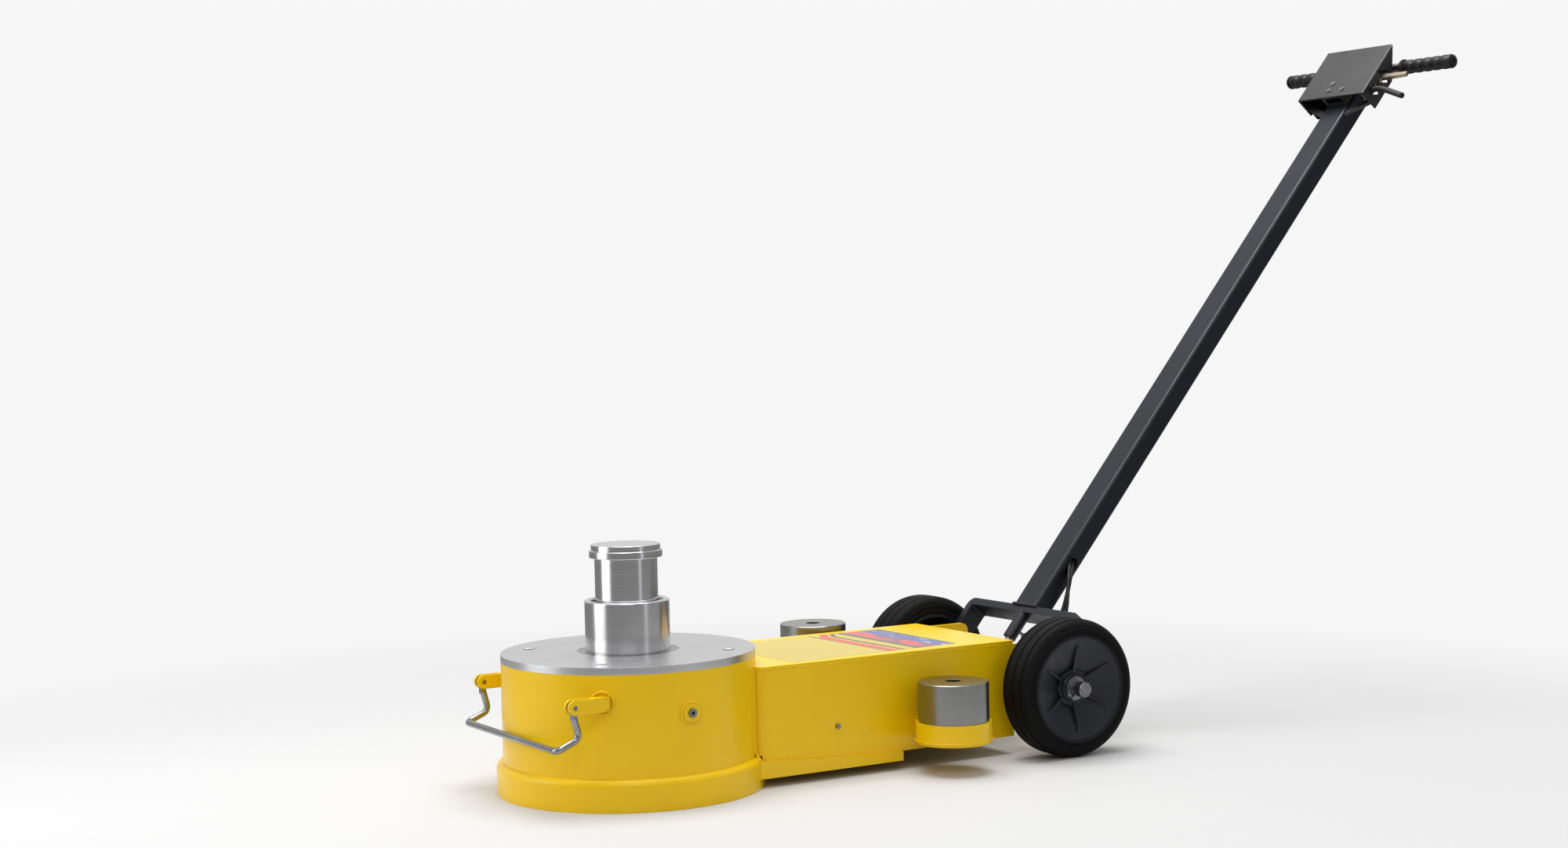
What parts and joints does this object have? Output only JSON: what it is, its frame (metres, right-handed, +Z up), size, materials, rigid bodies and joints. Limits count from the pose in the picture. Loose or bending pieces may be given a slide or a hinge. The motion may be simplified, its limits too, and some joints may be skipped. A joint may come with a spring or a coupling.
{
  "type": "air-hydraulic floor jack",
  "caption": "Two-stage telescopic air-hydraulic floor jack: a drum with chrome rams on a wheeled chassis box, with a tilting control handle, lift-off extension adapters and a front bail.",
  "frame": {"origin": "ram axis at the underside of the base ring, on the floor", "axes": "+X from the ram towards the wheels and handle, +Z up along the ram axis"},
  "size_m": [1.6102, 0.4782, 1.0633],
  "materials": {
    "yellow_paint": "gloss",
    "navy_paint": "satin",
    "chrome": "polished",
    "aluminium": "brushed",
    "turned_steel": "turned",
    "fasteners": "satin",
    "head_steel": "brushed",
    "bronze": "satin",
    "tyre": "matte",
    "rubber": "satin",
    "hose": "satin"
  },
  "bodies": {
    "chassis": {"drum_housing": "yellow_paint", "cover_plate": "aluminium", "cover_screws": "fasteners", "main_cylinder": "turned_steel", "outer_gland": "turned_steel", "outer_wiper": "rubber", "chassis_box": "yellow_paint", "box_top": "yellow_paint", "floor_plates": "yellow_paint", "cup_near": "yellow_paint", "cup_far": "yellow_paint", "axle": "fasteners", "circlips": "fasteners", "axle_washers": "fasteners", "lock_sector": "yellow_paint", "bail_pins": "fasteners", "pump_block": "turned_steel", "air_cylinder": "aluminium", "air_caps": "aluminium", "check_ball": "turned_steel", "drum_plug": "fasteners", "oil_tube": "turned_steel", "side_screws": "fasteners", "hose_fittings": "fasteners"},
    "outer_ram": {"outer_ram": "chrome", "outer_piston_seal": "rubber", "inner_gland": "turned_steel", "inner_wiper": "rubber"},
    "inner_ram": {"inner_ram": "chrome", "inner_piston_seal": "rubber", "saddle": "chrome"},
    "wheel_near": {"tyre_near": "tyre", "rim_near": "navy_paint", "bush_near": "bronze"},
    "wheel_far": {"tyre_far": "tyre", "rim_far": "navy_paint", "bush_far": "bronze"},
    "handle": {"yoke": "navy_paint", "handle_tube": "navy_paint", "hose_grommet": "rubber", "head_box": "head_steel", "head_spacer": "head_steel", "head_rivets": "fasteners", "lever_pins": "fasteners", "air_valve": "head_steel", "grip_bar": "fasteners", "grip_near": "rubber", "grip_far": "rubber", "air_hose": "hose", "pilot_hose": "hose"},
    "lift_lever": {"lift_lever": "bronze"},
    "release_lever": {"release_lever": "head_steel"},
    "valve_plunger": {"valve_plunger": "fasteners"},
    "lock_pin": {"lock_pin": "fasteners"},
    "bail": {"bail": "chrome"},
    "adapter_near": {"adapter_near": "turned_steel"},
    "adapter_far": {"adapter_far": "turned_steel"},
    "air_piston": {"air_piston": "turned_steel", "air_piston_seal": "rubber"},
    "release_valve": {"release_valve": "turned_steel"}
  },
  "joints": [
    {"name": "outer_ram_slide", "type": "slide", "parent": "chassis", "child": "outer_ram", "axis": [0, 0, 1], "range_m": [-0.055, 0.06]},
    {"name": "inner_ram_slide", "type": "slide", "parent": "outer_ram", "child": "inner_ram", "axis": [0, 0, 1], "range_m": [-0.054, 0.059]},
    {"name": "wheel_near_spin", "type": "hinge", "parent": "chassis", "child": "wheel_near", "pos_m": [0.616, 0, 0.1], "axis": [0, 1, 0], "continuous": true},
    {"name": "wheel_far_spin", "type": "hinge", "parent": "chassis", "child": "wheel_far", "pos_m": [0.616, 0, 0.1], "axis": [0, 1, 0], "continuous": true},
    {"name": "handle_hinge", "type": "hinge", "parent": "chassis", "child": "handle", "pos_m": [0.616, 0, 0.1], "axis": [0, 1, 0], "range_deg": [-40, 40], "deforming": ["air_hose", "pilot_hose"]},
    {"name": "lock_pin_slide", "type": "slide", "parent": "handle", "child": "lock_pin", "axis": [0.6481, 0, 0.7615], "range_m": [-0.0075, 0.004]},
    {"name": "lift_lever_hinge", "type": "hinge", "parent": "handle", "child": "lift_lever", "pos_m": [1.35831, -0.046, 1.00461], "axis": [-0.7615, 0, 0.6481], "range_deg": [0, 12], "stiffness_Nm_per_rad": 1.2},
    {"name": "release_lever_hinge", "type": "hinge", "parent": "handle", "child": "release_lever", "pos_m": [1.34047, -0.046, 0.98828], "axis": [-0.7615, 0, 0.6481], "range_deg": [0, 10], "stiffness_Nm_per_rad": 1.2},
    {"name": "valve_plunger_slide", "type": "slide", "parent": "handle", "child": "valve_plunger", "axis": [0, 1, 0], "range_m": [0, 0.0036]},
    {"name": "bail_hinge", "type": "hinge", "parent": "chassis", "child": "bail", "pos_m": [-0.1555, 0, 0.1435], "axis": [0, 1, 0], "range_deg": [0, 135]},
    {"name": "adapter_near_lift", "type": "slide", "parent": "chassis", "child": "adapter_near", "axis": [0, 0, 1], "range_m": [0, 0.06]},
    {"name": "adapter_far_lift", "type": "slide", "parent": "chassis", "child": "adapter_far", "axis": [0, 0, 1], "range_m": [0, 0.06]},
    {"name": "air_piston_slide", "type": "slide", "parent": "chassis", "child": "air_piston", "axis": [1, 0, 0], "range_m": [-0.03, 0.018]},
    {"name": "release_valve_turn", "type": "hinge", "parent": "chassis", "child": "release_valve", "pos_m": [0.262, 0.034, 0.11], "axis": [0, 0, 1], "range_deg": [0, 60]}
  ],
  "couplings": [
    {"joint": "valve_plunger_slide", "follows": "lift_lever_hinge", "m_per_rad": 0.016},
    {"joint": "release_valve_turn", "follows": "release_lever_hinge", "ratio": 6}
  ]
}
